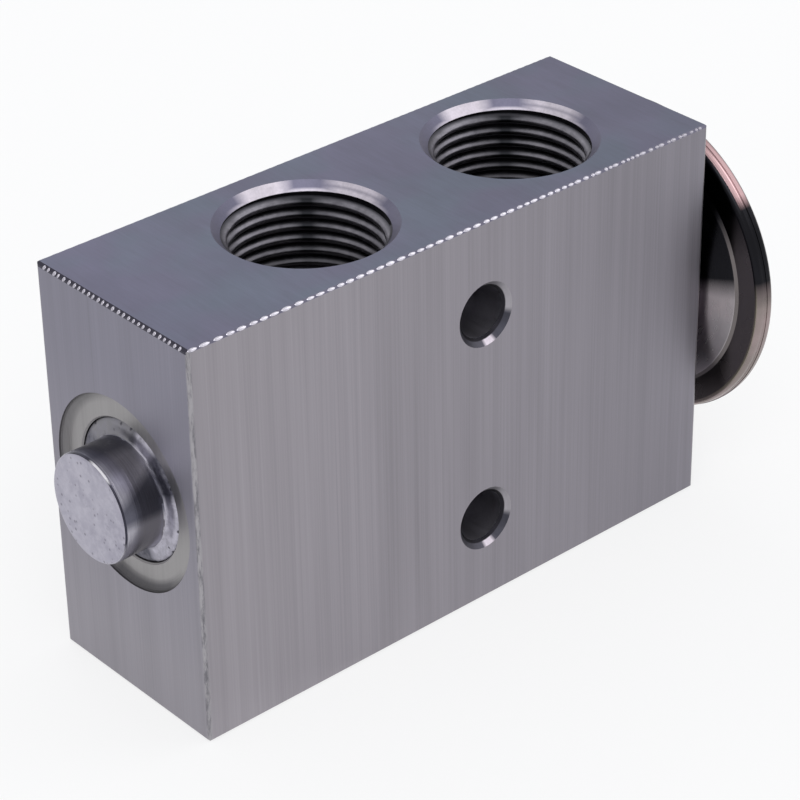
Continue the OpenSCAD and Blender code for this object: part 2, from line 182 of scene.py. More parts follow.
def both(tree, *masks):
    out = masks[0]
    for other in masks[1:]:
        out = calc(tree, "MULTIPLY", out, other)
    return out


# finishes

blockLook = {
    "frontLeft": (0.345, 0.325, 0.355), "frontRight": (0.250, 0.238, 0.272),
    "endHigh": (0.243, 0.236, 0.288), "endLow": (0.305, 0.291, 0.325),
    "top": (0.168, 0.166, 0.236), "topCool": (0.160, 0.178, 0.238),
    "corner": (0.385, 0.372, 0.395), "edge": (0.150, 0.145, 0.195), "endEdge": (0.060, 0.057, 0.078),
    "chamferShaded": (0.150, 0.146, 0.205), "chamferHighlight": (0.800, 0.740, 0.820), "bore": (0.022, 0.021, 0.026),
    "holeBore": (0.34, 0.33, 0.37),
    "holeLipShade": (0.110, 0.106, 0.135), "recess": (0.330, 0.320, 0.325), "recessLipShade": (0.115, 0.112, 0.120),
    "dragMark": (0.185, 0.18, 0.20), "holePale": (0.36, 0.345, 0.375), "holeLow": (0.090, 0.088, 0.108),
    "holeRight": (0.060, 0.060, 0.076), "holeGlint": (0.72, 0.66, 0.74), "nick": (0.05, 0.048, 0.055),
    "roughness": 0.42, "lineDepth": 0.00002,
}


def portPlace(tree, x, y):  # distance from a port's axis and angle about it, for both ports at once
    isFar = above(tree, x, block["portMiddle"] * mm)
    nearX = (block["portMiddle"] - block["portHalf"]) * mm
    away = calc(tree, "SUBTRACT", x, mixNumber(tree, isFar, nearX, nearX + 2 * block["portHalf"] * mm))
    return radiusFrom(tree, away, 0.0, y, 0.0), angleAbout(tree, away, y)


def makeBlockFinish():
    finish, tree, shader, place = newFinish("extrudedAluminium", blockLook["frontLeft"], blockLook["roughness"])
    x, y, z = split(tree, place.outputs["Object"])
    nx, ny, nz = split(tree, place.outputs["Normal"])
    ax, ay, az = (calc(tree, "ABSOLUTE", n) for n in (nx, ny, nz))
    isTop = above(tree, az, 0.9)
    isEnd = above(tree, ax, 0.9)
    # upright draw lines on the four sides, cutter marks across the two port faces
    fine = grain(tree, place, (3600, 3600, 22), 2.0)
    broad = grain(tree, place, (620, 620, 9), 3.0, (3.1, 1.7, 0.4))
    wide = grain(tree, place, (95, 95, 12), 2.0, (7.0, 2.0, 1.0))
    sideLines = calc(tree, "ADD", calc(tree, "MULTIPLY", fine, 0.5), calc(tree, "MULTIPLY", broad, 0.5))
    topFine = grain(tree, place, (2600, 190, 1), 3.0, (2.0, 5.0, 0.0))
    topBroad = grain(tree, place, (260, 60, 1), 3.0, (9.0, 3.0, 0.0))
    topLines = calc(tree, "ADD", calc(tree, "MULTIPLY", topFine, 0.5), calc(tree, "MULTIPLY", topBroad, 0.5))
    lines = mixNumber(tree, isTop, sideLines, topLines)
    # painted shade: the front face darkens from left to right, the end face darkens towards the top
    half = block["length"] / 2 * mm
    front = mixColour(tree, remap(tree, x, -half, half), blockLook["frontLeft"], blockLook["frontRight"])
    end = mixColour(tree, remap(tree, z, 0.008, 0.050), blockLook["endLow"], blockLook["endHigh"])
    # the top face is darker and bluer than the sides, partly its own milled tone and partly painted shade; a cool
    # mottle varies it
    cool = grain(tree, place, (60, 75, 1), 2.0, (4.0, 6.0, 0.0))
    top = mixColour(tree, remap(tree, cool, 0.42, 0.62), blockLook["top"], blockLook["topCool"])
    colour = mixColour(tree, isEnd, front, end)
    # rounded upright corners carry drag marks and small dark nicks, over a painted highlight band
    isCorner = calc(tree, "MULTIPLY", calc(tree, "MULTIPLY", ax, ay), 2.4, clamp=True)
    drag = grain(tree, place, (1900, 1900, 330), 4.0, (5.0, 1.0, 2.0), 0.75)
    dragMarksOnHighlight = mixColour(tree, remap(tree, drag, 0.38, 0.55), blockLook["dragMark"], blockLook["corner"])
    colour = mixColour(tree, isCorner, colour, dragMarksOnHighlight)
    colour = mixColour(tree, isTop, colour, top)
    # edge break round the port faces, painted as shade: darker on the sides, near black on the ends and along the top
    # of each end face
    isEdge = both(tree, above(tree, az, 0.35), below(tree, az, 0.9), above(tree, z, (block["height"] - 0.5) * mm))
    port, turn = portPlace(tree, x, y)
    breaks = mixColour(tree, above(tree, ay, 0.35), blockLook["endEdge"], blockLook["edge"])
    isEdge = both(tree, isEdge, above(tree, port, (block["mouthRadius"] + 0.05) * mm))
    colour = mixColour(tree, isEdge, colour, breaks)
    endBand = both(tree, isEnd, above(tree, z, (block["height"] - 0.66) * mm))
    colour = paint(tree, colour, endBand, blockLook["endEdge"])
    # port chamfers carry painted highlights on two stretches over a painted shaded base; the port bores below them
    # are painted near black as shade
    inMouth = both(tree, below(tree, port, (block["mouthRadius"] + 0.02) * mm), below(tree, az, 0.9))
    line = calc(tree, "ABSOLUTE", calc(tree, "SUBTRACT", port, (block["portRadius"] + 0.62) * mm))
    rightStretch = both(tree, arcMask(tree, turn, 15, 12, 14), remap(tree, line, 0.0, 0.26 * mm, 0.35, 0.72))
    gleam = calc(tree, "MAXIMUM", calc(tree, "MULTIPLY", arcMask(tree, turn, 80, 11, 11), 0.85), rightStretch)
    inner = remap(tree, port, (block["portRadius"] + 0.42) * mm, (block["portRadius"] + 0.18) * mm, 0.0, 0.5)
    gleam = calc(tree, "MAXIMUM", gleam, both(tree, inner, arcMask(tree, turn, 48, 50, 20)))
    streak = calc(tree, "MULTIPLY", gleam, remap(tree, grain(tree, place, (900, 900, 2600), 2.0), 0.2, 0.8, 0.8, 1.0))
    chamfer = mixColour(tree, streak, blockLook["chamferShaded"], blockLook["chamferHighlight"])
    colour = mixColour(tree, inMouth, colour, chamfer)
    inBore = below(tree, port, (block["portRadius"] + 0.02) * mm)
    inBore = both(tree, inBore, below(tree, calc(tree, "ABSOLUTE", y), 0.0113))
    colour = paint(tree, colour, inBore, blockLook["bore"])
    # mounting holes: a short painted bright stretch on the chamfer, with painted dark arcs and a painted glint; the
    # chamfer's inner part is painted as dark as the port bores, as shade
    middleZ = (block["boltLow"] + block["boltHigh"]) / 2 * mm
    isHigh = above(tree, z, middleZ)
    holeZ = mixNumber(tree, isHigh, block["boltLow"] * mm, block["boltHigh"] * mm)
    dx = calc(tree, "SUBTRACT", x, block["boltX"] * mm)
    dz = calc(tree, "SUBTRACT", z, holeZ)
    hole = radiusFrom(tree, dx, 0.0, dz, 0.0)
    holeTurn = angleAbout(tree, dx, dz)
    inHole = both(tree, below(tree, hole, (block["boltMouth"] + 0.02) * mm), below(tree, ay, 0.9))
    wall = mixColour(tree, above(tree, ay, 0.4), blockLook["holeBore"], blockLook["bore"])
    colour = mixColour(tree, inHole, colour, wall)
    lip = mixColour(tree, arcMask(tree, holeTurn, 36, 48, 14), blockLook["holeLipShade"], blockLook["holePale"])
    lip = paint(tree, lip, arcMask(tree, holeTurn, -128, 26, 20), blockLook["holeLow"])
    lip = paint(tree, lip, arcMask(tree, holeTurn, -40, 20, 12), blockLook["holeRight"])
    lip = paint(tree, lip, arcMask(tree, holeTurn, -80, 7, 7), blockLook["holeGlint"])
    onLip = both(tree, inHole, above(tree, ay, 0.4), remap(tree, hole, 4.02 * mm, 4.10 * mm))
    colour = mixColour(tree, onLip, colour, lip)
    # turned recess round the plug: pale floor, dished rim with painted shade low down and at the upper front, and a
    # painted shadow beside the plug at the upper front
    dz = calc(tree, "SUBTRACT", z, block["axisHeight"] * mm)
    around = radiusFrom(tree, y, 0.0, dz, 0.0)
    plugTurn = angleAbout(tree, dz, calc(tree, "MULTIPLY", y, -1.0))
    inRecess = both(tree, below(tree, around, (block["recessRadius"] + 0.02) * mm),
                    above(tree, x, (0.01 - block["length"] / 2) * mm), below(tree, x, 0.0))
    rim = remap(tree, around, (block["recessRadius"] - 1.6) * mm, (block["recessRadius"] - 0.7) * mm)
    shaded = calc(tree, "MAXIMUM", arcMask(tree, plugTurn, 168, 24, 22),
                  calc(tree, "MULTIPLY", arcMask(tree, plugTurn, 54, 20, 22), 0.6))
    shaded = calc(tree, "MAXIMUM", shaded, calc(tree, "MULTIPLY", arcMask(tree, plugTurn, -75, 40, 25), 0.6))
    recess = mixColour(tree, calc(tree, "MULTIPLY", rim, shaded), blockLook["recess"],
                       blockLook["recessLipShade"])
    shadeBesidePlug = both(tree, arcMask(tree, plugTurn, 62, 14, 20), remap(tree, around, 12.3 * mm, 11.2 * mm), 0.4)
    recess = paint(tree, recess, shadeBesidePlug, blockLook["recessLipShade"])
    colour = mixColour(tree, inRecess, colour, recess)
    # lines lighten and darken the colour; a few dark nicks
    shade = remap(tree, lines, 0.25, 0.75, 0.84, 1.16)
    shade = calc(tree, "MULTIPLY", shade, remap(tree, wide, 0.3, 0.7, 0.95, 1.05))
    colour = mixColour(tree, 1.0, colour, shade, "MULTIPLY")
    nicks = specks(tree, place, (110, 110, 60), 0.055, 0.22, (0.3, 0.1, 0.7))
    colour = mixColour(tree, calc(tree, "MULTIPLY", nicks, 0.7), colour, blockLook["nick"])
    tree.links.new(colour, shader.inputs["Base Color"])
    rough = remap(tree, lines, 0.2, 0.8, blockLook["roughness"] - 0.07, blockLook["roughness"] + 0.10)
    rough = mixNumber(tree, isTop, rough, calc(tree, "ADD", rough, 0.05))
    tree.links.new(rough, shader.inputs["Roughness"])
    rings = tree.nodes.new("ShaderNodeTexNoise")
    rings.noise_dimensions = "1D"
    rings.inputs["Scale"].default_value = 5200
    rings.inputs["Detail"].default_value = 2
    tree.links.new(around, rings.inputs["W"])
    height = mixNumber(tree, inRecess, lines, rings.outputs["Fac"])
    height = calc(tree, "SUBTRACT", height, calc(tree, "MULTIPLY", nicks, 1.5))
    bump(tree, shader, height, blockLook["lineDepth"], 0.5)
    return finish


# cut thread: painted reflection, crests dark in the middle of the back wall and bright to both sides; painted shade
# deeper down, on the flanks and in the valleys
threadLook = {
    "crestLow": (0.150, 0.145, 0.168), "crestHigh": (0.275, 0.266, 0.300), "middle": (0.014, 0.0145, 0.017),
    "deepShade": (0.045, 0.044, 0.050), "flankShade": (0.055, 0.054, 0.062), "valleyShade": (0.065, 0.064, 0.076),
}


def makeThreadFinish():
    finish, tree, shader, place = newFinish("cutThread", (0.25, 0.24, 0.26), 0.34)
    x, y, z = split(tree, place.outputs["Object"])
    nz = split(tree, place.outputs["Normal"])[2]
    port, turn = portPlace(tree, x, y)
    valleyShade = remap(tree, port, (thread["minor"] + 0.34) * mm, (thread["minor"] + 0.74) * mm)
    wear = grain(tree, place, (700, 700, 1300), 4.0, (0, 0, 0), 0.65)
    crest = mixColour(tree, remap(tree, wear, 0.3, 0.7), threadLook["crestLow"], threadLook["crestHigh"])
    crest = mixColour(tree, arcMask(tree, turn, 50, 3, 26), crest, threadLook["middle"])
    fromMiddle = calc(tree, "SUBTRACT", z, block["height"] / 2 * mm)
    deepShade = remap(tree, calc(tree, "ABSOLUTE", fromMiddle), 0.0215, 0.0165)
    crest = mixColour(tree, deepShade, crest, threadLook["deepShade"])
    # painted shade: flanks turned away from the port's mouth are painted dark
    facing = calc(tree, "MULTIPLY", nz, calc(tree, "SIGN", fromMiddle))
    crest = mixColour(tree, remap(tree, facing, -0.2, -0.5), crest, threadLook["flankShade"])
    colour = mixColour(tree, valleyShade, crest, threadLook["valleyShade"])
    tree.links.new(colour, shader.inputs["Base Color"])
    tree.links.new(remap(tree, wear, 0.2, 0.8, 0.30, 0.46), shader.inputs["Roughness"])
    bump(tree, shader, wear, 0.00003, 0.5)
    return finish


def makeCutFinish():
    finish, tree, shader, place = newFinish("cutHighlight", (0.80, 0.78, 0.86), 0.30)
    # painted highlights: the cuts are painted bright, and painted dimmer on the end edges and towards the right as
    # shade
    patches = grain(tree, place, (1800, 1800, 1800), 2.0)
    colour = mixColour(tree, remap(tree, patches, 0.3, 0.7), (0.66, 0.64, 0.73), (0.86, 0.83, 0.92))
    x = split(tree, place.outputs["Object"])[0]
    onEnd = above(tree, calc(tree, "ABSOLUTE", x), (block["length"] / 2 - 0.6) * mm)
    far = calc(tree, "MAXIMUM", calc(tree, "MULTIPLY", onEnd, 0.6), remap(tree, x, 0.010, 0.042, 0.0, 0.95))
    colour = mixColour(tree, far, colour, (0.37, 0.355, 0.41))
    tree.links.new(colour, shader.inputs["Base Color"])
    tree.links.new(remap(tree, patches, 0.2, 0.8, 0.18, 0.34), shader.inputs["Roughness"])
    bump(tree, shader, patches, 0.00001, 0.5)
    return finish


# turned plug: pitted face, barrel with painted reflected bands, hammered shoulder with painted highlights
plugLook = {
    "barrelLow": (0.280, 0.273, 0.324), "barrelHigh": (0.375, 0.365, 0.423), "band": (0.115, 0.115, 0.148),
    "barrelTop": (0.145, 0.145, 0.180), "barrelPale": (0.440, 0.430, 0.480), "worn": (0.52, 0.51, 0.56),
    "chamfer": (0.045, 0.045, 0.062), "glint": (0.86, 0.85, 0.90), "faceLow": (0.360, 0.348, 0.420),
    "faceHigh": (0.455, 0.442, 0.515), "faceLight": (0.53, 0.515, 0.585), "facePit": (0.17, 0.165, 0.20),
    "shoulder": (0.080, 0.080, 0.105), "shoulderLit": (0.500, 0.485, 0.560),
    "shoulderGreyReflection": (0.230, 0.225, 0.245), "shoulderBlotch": (0.25, 0.245, 0.285),
    "shoulderPit": (0.035, 0.034, 0.045),
}


def makePlugFinish():
    finish, tree, shader, place = newFinish("turnedPlug", (0.36, 0.35, 0.38), 0.33)
    x, y, z = split(tree, place.outputs["Object"])
    dz = calc(tree, "SUBTRACT", z, block["axisHeight"] * mm)
    around = radiusFrom(tree, y, 0.0, dz, 0.0)
    turn = angleAbout(tree, dz, calc(tree, "MULTIPLY", y, -1.0))
    isFace = below(tree, x, (plug["noseFront"] + 0.10 - block["length"] / 2) * mm)
    isShoulder = above(tree, around, (plug["noseRadius"] + 0.15) * mm)
    turning = grain(tree, place, (5200, 60, 60), 2.0)
    blotch = grain(tree, place, (900, 900, 900), 4.0, (1.0, 4.0, 2.0), 0.7)
    soft = grain(tree, place, (240, 240, 240), 3.0, (2.0, 1.0, 5.0))
    pits = specks(tree, place, (1300, 1300, 1300), 0.42, 0.30)
    fewPits = specks(tree, place, (1250, 1250, 1250), 0.34, 0.36, (0.4, 0.2, 0.1))
    # painted reflection: dark and pale bands run along the barrel, with a dark stretch at the top
    barrel = mixColour(tree, remap(tree, turning, 0.3, 0.7), plugLook["barrelLow"], plugLook["barrelHigh"])
    # the painted dark stretch widens from the front towards the shoulder
    start = remap(tree, x, -0.0500, -0.0446, 58, 36)
    band = both(tree, remap(tree, calc(tree, "SUBTRACT", turn, start), 0, 12), remap(tree, turn, 91, 85))
    barrel = mixColour(tree, band, barrel, plugLook["band"])
    barrel = mixColour(tree, arcMask(tree, turn, -8, 12, 14), barrel, plugLook["barrelTop"])
    pale = arcMask(tree, turn, 112, 20, 12)
    barrel = mixColour(tree, calc(tree, "MULTIPLY", pale, 0.8), barrel, plugLook["barrelPale"])
    worn = remap(tree, calc(tree, "MULTIPLY", blotch, soft), 0.30, 0.42)
    barrel = mixColour(tree, calc(tree, "MULTIPLY", worn, 0.35), barrel, plugLook["worn"])
    face = mixColour(tree, remap(tree, soft, 0.3, 0.7), plugLook["faceLow"], plugLook["faceHigh"])
    face = mixColour(tree, remap(tree, blotch, 0.42, 0.62, 0.0, 0.5), face, plugLook["faceLight"])
    face = mixColour(tree, calc(tree, "MULTIPLY", fewPits, 0.7), face, plugLook["facePit"])
    # painted light on the shoulder: a shaded dark base, two painted highlight arcs and a painted grey reflection near
    # the top
    lit = calc(tree, "MAXIMUM", arcMask(tree, turn, 24, 8, 6), arcMask(tree, turn, 112, 36, 8))
    shoulder = mixColour(tree, lit, plugLook["shoulder"], plugLook["shoulderLit"])
    shoulder = mixColour(tree, arcMask(tree, turn, -22, 26, 12), shoulder, plugLook["shoulderGreyReflection"])
    shoulder = mixColour(tree, remap(tree, blotch, 0.4, 0.62, 0.0, 0.55), shoulder, plugLook["shoulderBlotch"])
    edge = remap(tree, around, 8.3 * mm, 9.2 * mm, 0.25, 1.0)
    shoulder = mixColour(tree, both(tree, pits, edge), shoulder, plugLook["shoulderPit"])
    # narrow front chamfer: painted dark line with one short painted glint
    onChamfer = both(tree, below(tree, x, (plug["noseFront"] + 0.36 - block["length"] / 2) * mm),
                     arcMask(tree, turn, 40, 62, 16))
    barrel = mixColour(tree, onChamfer, barrel, plugLook["chamfer"])
    barrel = mixColour(tree, both(tree, onChamfer, arcMask(tree, turn, 22, 9, 9)), barrel, plugLook["glint"])
    colour = mixColour(tree, isFace, barrel, face)
    colour = mixColour(tree, isShoulder, colour, shoulder)
    tree.links.new(colour, shader.inputs["Base Color"])
    rougher = calc(tree, "MAXIMUM", isFace, isShoulder)
    tree.links.new(mixNumber(tree, rougher, 0.27, 0.45), shader.inputs["Roughness"])
    height = mixNumber(tree, rougher, turning, calc(tree, "SUBTRACT", blotch, calc(tree, "MULTIPLY", pits, 0.5)))
    bump(tree, shader, height, 0.00004, 0.5)
    return finish


# stamped sheet: warm grey cup and rim, flange painted darker as shade, one painted pink highlight on the rim
sheetLook = {
    "low": (0.330, 0.310, 0.325), "high": (0.390, 0.345, 0.360), "flange": (0.165, 0.148, 0.148),
    "flangeFoot": (0.085, 0.078, 0.076), "rimLow": (0.265, 0.225, 0.215), "rimHigh": (0.350, 0.280, 0.280),
    "tint": (0.235, 0.228, 0.150), "dark": (0.016, 0.016, 0.019), "pink": (0.430, 0.290, 0.300),
    "domeLow": (0.42, 0.40, 0.41), "domeHigh": (0.52, 0.46, 0.46),
}


def makeSheetFinish():  # stamped stainless sheet with a warm cast
    finish, tree, shader, place = newFinish("stampedStainless", (0.50, 0.46, 0.46), 0.22)
    x, y, z = split(tree, place.outputs["Object"])
    dz = calc(tree, "SUBTRACT", z, block["axisHeight"] * mm)
    around = radiusFrom(tree, y, 0.0, dz, 0.0)
    turn = angleAbout(tree, dz, calc(tree, "ABSOLUTE", y))
    cloud = grain(tree, place, (120, 120, 120), 3.0)
    drawn = grain(tree, place, (2400, 260, 260), 2.0)
    colour = mixColour(tree, remap(tree, cloud, 0.35, 0.65), sheetLook["low"], sheetLook["high"])
    inFlange = both(tree, above(tree, around, head["cupRadius"] * mm), below(tree, x, head["coverAt"] * mm))
    # painted shade: the flange is darker than the cup, darker still towards the bottom
    flange = mixColour(tree, remap(tree, turn, 118, 165), sheetLook["flange"], sheetLook["flangeFoot"])
    colour = mixColour(tree, inFlange, colour, flange)
    inRim = above(tree, around, head["rimInner"] * mm)
    rim = mixColour(tree, remap(tree, cloud, 0.4, 0.6), sheetLook["rimLow"], sheetLook["rimHigh"])
    tint = both(tree, below(tree, around, (head["rimInner"] + 0.35) * mm), arcMask(tree, turn, 106, 24, 20), 0.5)
    rim = mixColour(tree, tint, rim, sheetLook["tint"])
    colour = mixColour(tree, inRim, colour, rim)
    # painted reflection: the upper part is painted near black as a mirrored dark wall, with one painted pale pink
    # highlight along the rim
    lit = both(tree, inFlange, calc(tree, "SUBTRACT", 1.0, inRim))
    dark = calc(tree, "MAXIMUM", both(tree, remap(tree, turn, 89, 79), calc(tree, "SUBTRACT", 1.0, lit)),
                remap(tree, turn, 70, 52))
    colour = mixColour(tree, both(tree, dark, below(tree, x, (head["coverAt"] + 1.0) * mm)), colour,
                       sheetLook["dark"])
    onSide = both(tree, above(tree, around, (head["rimInner"] + 0.5) * mm),
                  above(tree, x, (head["coverAt"] - 1.0) * mm), below(tree, x, (head["coverAt"] + 0.8) * mm))
    colour = mixColour(tree, both(tree, onSide, arcMask(tree, turn, 31, 17, 5)), colour, sheetLook["pink"])
    onDome = above(tree, x, (head["coverAt"] + 0.9) * mm)
    colour = mixColour(tree, onDome, colour, mixColour(tree, cloud, sheetLook["domeLow"], sheetLook["domeHigh"]))
    tree.links.new(colour, shader.inputs["Base Color"])
    tree.links.new(remap(tree, drawn, 0.2, 0.8, 0.17, 0.32), shader.inputs["Roughness"])
    bump(tree, shader, drawn, 0.00001, 0.3)
    return finish


def makePlainMetal(name, dark, light, low, high, size=900, metallic=1.0):
    finish, tree, shader, place = newFinish(name, light, low, metallic)
    patches = grain(tree, place, (size, size, size), 3.0)
    colour = mixColour(tree, remap(tree, patches, 0.3, 0.7), dark, light)
    tree.links.new(colour, shader.inputs["Base Color"])
    tree.links.new(remap(tree, patches, 0.2, 0.8, low, high), shader.inputs["Roughness"])
    bump(tree, shader, patches, 0.00002, 0.3)
    return finish


# distances along X of the head's parts and its radii, in mm
head = {"cupRadius": 19.2, "rimInner": 22.75, "coverAt": 49.8, "weldRadius": 23.72, "weldAt": 49.72, "steps": 160}

# mesh helpers

def finishPiece(name, bm, finish, body, sharp=32):
    mesh = bpy.data.meshes.new(name)
    bm.to_mesh(mesh)
    bm.free()
    mesh.materials.append(finish)
    for face in mesh.polygons:
        face.use_smooth = True
    mesh.set_sharp_from_angle(angle=math.radians(sharp))
    piece = bpy.data.objects.new(name, mesh)
    scene.collection.objects.link(piece)
    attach(piece, body)
    return piece


def spinProfile(bm, points, centre, axis, steps):
    verts = [bm.verts.new(p) for p in points]
    edges = [bm.edges.new(pair) for pair in zip(verts, verts[1:])]
    bmesh.ops.spin(bm, geom=verts + edges, cent=centre, axis=axis, angle=math.tau, steps=steps,
                   use_merge=True, use_duplicate=False)
    bmesh.ops.remove_doubles(bm, verts=bm.verts, dist=0.000001)
    bmesh.ops.recalc_face_normals(bm, faces=bm.faces)


# camera, room and light

view = {
    "lens": 133.631, "place": (-0.226575, -0.262673, 0.23713), "turn": (58.7221, 0.7944, -41.5148),
}
room = {"floorSize": 6.0, "floorColour": (0.93, 0.93, 0.935), "glow": 0.72, "skyLevel": 0.74}
lamps = [
    {"name": "softKey", "place": (-0.55, -0.75, 1.15), "size": 0.9, "power": 5.8},
    {"name": "softFill", "place": (1.0, -0.5, 0.8), "size": 0.9, "power": 2.0},
    {"name": "softBack", "place": (0.2, 1.1, 0.9), "size": 1.0, "power": 1.8},
]


def makeCamera():
    lens = bpy.data.cameras.new("photoView")
    lens.lens = view["lens"]
    lens.sensor_width = 36
    camera = bpy.data.objects.new("photoView", lens)
    camera.location = view["place"]
    camera.rotation_euler = [math.radians(a) for a in view["turn"]]
    scene.collection.objects.link(camera)
    scene.camera = camera


def seenRay(tree):  # 1 on camera, mirror and see-through rays, 0 on the light that falls on things
    path = tree.nodes.new("ShaderNodeLightPath")
    first = calc(tree, "MAXIMUM", path.outputs["Is Camera Ray"], path.outputs["Is Glossy Ray"])
    return calc(tree, "MAXIMUM", first, path.outputs["Is Transmission Ray"])


def makeRoom():
    world = bpy.data.worlds.new("paleRoom")
    world.use_nodes = True
    tree = world.node_tree
    sky = tree.nodes["Background"]
    sky.inputs["Color"].default_value = (0.95, 0.97, 1.0, 1)
    sky.inputs["Strength"].default_value = room["skyLevel"]
    white = tree.nodes.new("ShaderNodeBackground")
    mixer = tree.nodes.new("ShaderNodeMixShader")
    tree.links.new(seenRay(tree), mixer.inputs[0])
    tree.links.new(sky.outputs[0], mixer.inputs[1])
    tree.links.new(white.outputs[0], mixer.inputs[2])
    tree.links.new(mixer.outputs[0], tree.nodes["World Output"].inputs["Surface"])
    scene.world = world

    bm = bmesh.new()
    bmesh.ops.create_grid(bm, x_segments=1, y_segments=1, size=room["floorSize"] / 2)
    mesh = bpy.data.meshes.new("floor")
    bm.to_mesh(mesh)
    bm.free()
    floor = bpy.data.objects.new("floor", mesh)
    scene.collection.objects.link(floor)
    finish, tree, shader, place = newFinish("paleFloor", room["floorColour"], 0.9, 0.0)
    glow = tree.nodes.new("ShaderNodeEmission")
    mixer = tree.nodes.new("ShaderNodeMixShader")
    tree.links.new(calc(tree, "MULTIPLY", seenRay(tree), room["glow"]), mixer.inputs[0])
    tree.links.new(shader.outputs[0], mixer.inputs[1])
    tree.links.new(glow.outputs[0], mixer.inputs[2])
    tree.links.new(mixer.outputs[0], tree.nodes["Material Output"].inputs["Surface"])
    mesh.materials.append(finish)


def makeLamps():
    for lamp in lamps:
        light = bpy.data.lights.new(lamp["name"], "AREA")
        light.size = lamp["size"]
        light.energy = lamp["power"]
        holder = bpy.data.objects.new(lamp["name"], light)
        holder.location = lamp["place"]
        aim = Vector((0, 0, 0.03)) - Vector(lamp["place"])
        holder.rotation_euler = aim.to_track_quat("-Z", "Y").to_euler()
        scene.collection.objects.link(holder)


makeCamera()
makeRoom()
makeLamps()
print("camera, room and lamps ready")

# port threads: one ridge wound down each port wall

thread = {
    "major": 11.12, "minor": 10.24, "pitch": 1.790, "crest": 0.30, "top": 0.30, "turns": 7.2, "steps": 80,
}


def woundRidge(bm, startAngle):
    pitch, crest = thread["pitch"], thread["crest"]
    half = pitch / 2
    section = [
        (thread["major"], 0.02), (thread["minor"] + 0.06, half - crest), (thread["minor"], half - crest / 2),
        (thread["minor"], half + crest / 2), (thread["minor"] + 0.06, half + crest), (thread["major"], pitch - 0.02),
        (thread["major"] + 0.12, pitch - 0.02), (thread["major"] + 0.12, 0.02),
    ]
    ring = [bm.verts.new((r * mm, 0, -(thread["top"] + d) * mm)) for r, d in section]
    edges = [bm.edges.new((ring[i], ring[(i + 1) % len(ring)])) for i in range(len(ring))]
    count = round(thread["turns"] * thread["steps"])
    bmesh.ops.spin(bm, geom=ring + edges, cent=(0, 0, 0), axis=(0, 0, -1), angle=math.tau * thread["turns"],
                   steps=count, dvec=(0, 0, -pitch * thread["turns"] / count * mm),
                   use_merge=False, use_duplicate=False)
    bmesh.ops.holes_fill(bm, edges=[e for e in bm.edges if e.is_boundary], sides=0)
    # the mouth's chamfer cuts the first turn back, and the last turn runs out into the wall
    runOut = thread["top"] + pitch * thread["turns"]
    for vert in bm.verts:
        flat = Vector((vert.co.x, vert.co.y, 0))
        radius, depth = flat.length / mm, -vert.co.z / mm
        least = block["mouthRadius"] - depth + (0.03 if depth < 1.2 else 0)
        out = max(radius, least, thread["major"] - (runOut - depth) * 0.9)
        vert.co.x *= out / radius
        vert.co.y *= out / radius
    bmesh.ops.recalc_face_normals(bm, faces=bm.faces)
    bmesh.ops.rotate(bm, verts=bm.verts, cent=(0, 0, 0), matrix=Matrix.Rotation(startAngle, 3, "Z"))


def makeThreads(finish):
    spots = [("liquidInletThread", -1, False, 0.4), ("evaporatorOutletThread", 1, True, 5.4),
             ("evaporatorInletThread", -1, True, 5.7), ("suctionOutletThread", 1, False, 1.2)]
    for name, side, upper, turn in spots:
        bm = bmesh.new()
        woundRidge(bm, turn)
        if not upper:
            bmesh.ops.rotate(bm, verts=bm.verts, cent=(0, 0, 0), matrix=Matrix.Rotation(math.pi, 3, "X"))
        place = Vector((block["portMiddle"] + side * block["portHalf"], 0, block["height"] if upper else 0)) * mm
        bmesh.ops.translate(bm, verts=bm.verts, vec=place)
        finishPiece(name, bm, finish, "housing", 40)


# scalloped cuts along the edges of the upper port face

cuts = {
    "sidePitch": (1.95, 1.15), "endPitch": (1.06, 1.06), "sideSize": (1.5, 0.50, 0.16), "endSize": (0.52, 0.62, 0.18),
    "sideDrop": (0.175, 0.175), "endDrop": (0.06, 0.30), "cornerGap": (0.9, 1.5),
}


def addCut(bm, middle, along, outward, length, width, height):
    across = along.cross(outward)
    turn = Matrix((outward * height, across * width, along * length)).transposed().to_4x4()
    bmesh.ops.create_uvsphere(bm, u_segments=8, v_segments=6, radius=0.5,
                              matrix=Matrix.Translation(middle) @ turn)


def makeCuts(finish):
    chance = random.Random(11)
    bm = bmesh.new()
    for side in (-1, 1):
        for alongX in (True, False):
            span = block["length"] if alongX else block["width"]
            inset, drop = cuts["sideDrop"] if alongX else cuts["endDrop"]
            reach = (block["width"] if alongX else block["length"]) / 2 - inset
            pitch = cuts["sidePitch"] if alongX else cuts["endPitch"]
            size = cuts["sideSize"] if alongX else cuts["endSize"]
            along = Vector((1, 0, 0)) if alongX else Vector((0, 1, 0))
            outward = (Vector((0, side, 1)) if alongX else Vector((side, 0, 1))).normalized()
            gap = cuts["cornerGap"][0 if alongX else 1]
            at = gap - span / 2
            while at < span / 2 - gap:
                share = (at + span / 2) / span
                step = pitch[0] + (pitch[1] - pitch[0]) * share
                step *= chance.uniform(0.85, 1.12) if share < 0.75 else chance.uniform(0.55, 1.25)
                length = min(size[0] * step / pitch[0], step * 0.86)
                spot = along * at + Vector((0, side * reach, 0) if alongX else (side * reach, 0, 0))
                spot.z = block["height"] - drop
                addCut(bm, spot * mm, along, outward, length * mm, size[1] * chance.uniform(0.8, 1.05) * mm,
                       size[2] * mm)
                at += step
    finishPiece("edgeCuts", bm, finish, "housing", 60)


# end plug: nose, staked shoulder and barrel

plug = {
    "noseRadius": 7.65, "noseFront": -5.4, "steps": 128,
}


